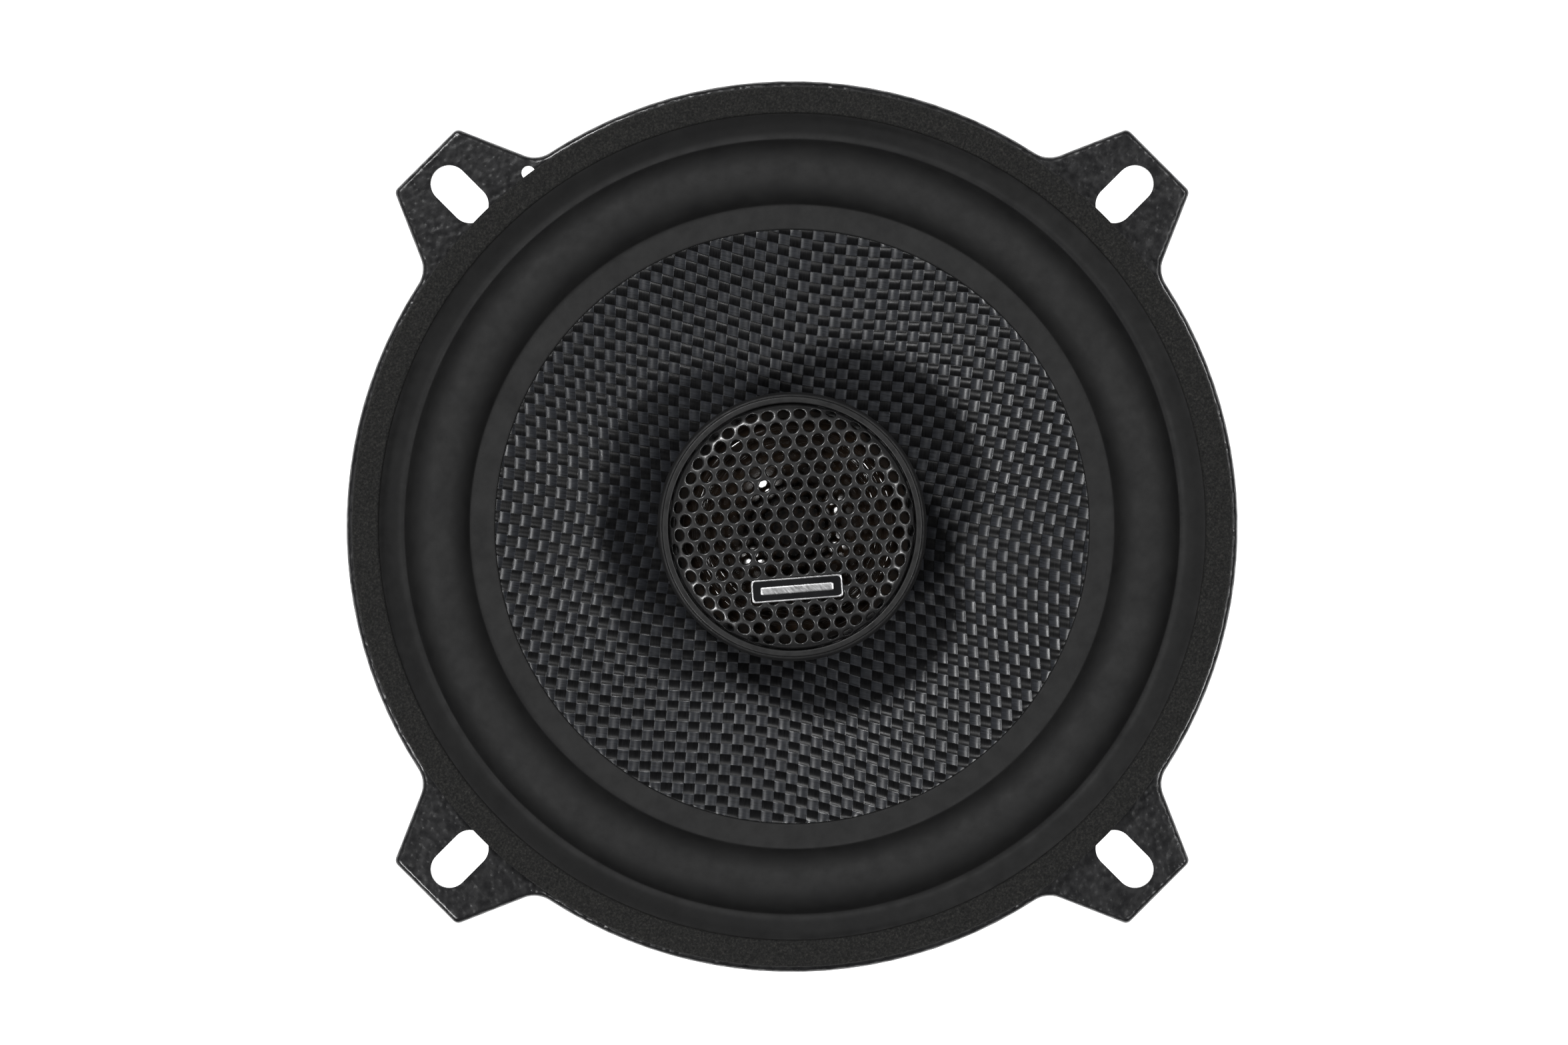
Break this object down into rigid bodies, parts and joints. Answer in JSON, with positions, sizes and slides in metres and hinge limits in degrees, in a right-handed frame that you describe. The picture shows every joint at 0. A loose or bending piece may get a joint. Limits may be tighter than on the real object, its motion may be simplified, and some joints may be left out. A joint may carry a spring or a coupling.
{
  "type": "coaxial car speaker",
  "caption": "Round two-way coaxial car speaker: slotted-tab steel basket, woven cone, rubber surround and a post-mounted dome tweeter under a perforated grille.",
  "frame": {"origin": "on the speaker's axis, in the plane where the turned-down rim rests on a panel: the centre of the mounting slots' pattern", "axes": "+Z towards the listener, out of the cone; the mounting tabs lie on +X, +Y, -X and -Y; the terminals point along -Y"},
  "size_m": [0.1512, 0.1512, 0.0591],
  "materials": {
    "black_painted_steel": "gloss black enamel with a hammered texture",
    "bright_steel": "zinc-plated steel",
    "zinc_plated_steel": "zinc-plated steel, satin",
    "ferrite": "ground ferrite, dark grey",
    "gasket_foam": "closed-cell foam, matte, sandy grain",
    "surround_rubber": "butyl rubber, satin",
    "spider_cloth": "resin-dipped woven cotton",
    "black_nylon": "moulded nylon",
    "black_abs": "moulded ABS, semi-gloss",
    "gloss_black_plastic": "polished black",
    "black_painted_mesh": "gloss black enamel on perforated steel",
    "badge_metal": "satin silver, blank",
    "nickel_plate": "bright nickel plate",
    "felt": "grey wool felt",
    "tinned_brass": "tinned brass",
    "phenolic_board": "brown phenolic paper laminate",
    "tinsel_braid": "silver-plated copper tinsel braid",
    "red_lead_insulation": "red PVC insulation",
    "black_lead_insulation": "black PVC insulation",
    "capacitor_sleeve": "dark blue shrink sleeve, unmarked",
    "hot_glue": "amber adhesive",
    "tinned_wire": "tinned copper wire",
    "heat_shrink": "heat-shrink tube",
    "woven_fibre": "plain-woven black fibre, lacquered",
    "coil_former": "polyimide sheet",
    "copper_winding": "enamelled copper wire",
    "solder": "solder",
    "silk_dome": "coated silk, glossy"
  },
  "bodies": {
    "frame": {"basket": "black_painted_steel", "basket_rivets": "bright_steel", "mounting_gasket": "gasket_foam", "surround": "surround_rubber", "spider": "spider_cloth", "top_plate": "zinc_plated_steel", "magnet": "ferrite", "yoke": "zinc_plated_steel", "tweeter_post": "black_nylon", "post_washer": "bright_steel", "post_nut": "bright_steel", "tweeter_cup": "black_abs", "tweeter_pot": "bright_steel", "tweeter_magnet": "nickel_plate", "tweeter_pole_plate": "bright_steel", "tweeter_damping_felt": "felt", "tweeter_carrier_ring": "black_nylon", "tweeter_bezel": "gloss_black_plastic", "tweeter_grille": "black_painted_mesh", "badge_plate": "badge_metal", "tweeter_lugs": "tinned_brass", "terminal_board": "phenolic_board", "terminal_positive": "tinned_brass", "terminal_negative": "tinned_brass", "terminal_rivets": "tinned_brass", "board_rivet": "bright_steel", "tinsel_lead_positive": "tinsel_braid", "tinsel_lead_negative": "tinsel_braid", "tweeter_lead_positive": "red_lead_insulation", "tweeter_lead_negative": "black_lead_insulation", "crossover_capacitor": "capacitor_sleeve", "capacitor_glue": "hot_glue", "capacitor_leads": "tinned_wire", "splice_sleeve": "heat_shrink"},
    "cone_assembly": {"cone": "woven_fibre", "voice_coil_former": "coil_former", "voice_coil_winding": "copper_winding", "coil_solder_pads": "solder", "coil_lead_outs": "copper_winding"},
    "tweeter_dome": {"tweeter_diaphragm": "silk_dome", "tweeter_voice_coil": "copper_winding"}
  },
  "joints": [
    {"name": "cone_excursion", "type": "slide", "parent": "frame", "child": "cone_assembly", "axis": [0, 0, 1], "range_m": [-0.004, 0.004], "stiffness_N_per_m": 1900, "deforming": ["surround", "spider", "tinsel_lead_positive", "tinsel_lead_negative"]},
    {"name": "tweeter_excursion", "type": "slide", "parent": "frame", "child": "tweeter_dome", "axis": [0, 0, 1], "range_m": [-0.00025, 0.00025], "stiffness_N_per_m": 300, "deforming": ["tweeter_diaphragm"]}
  ]
}
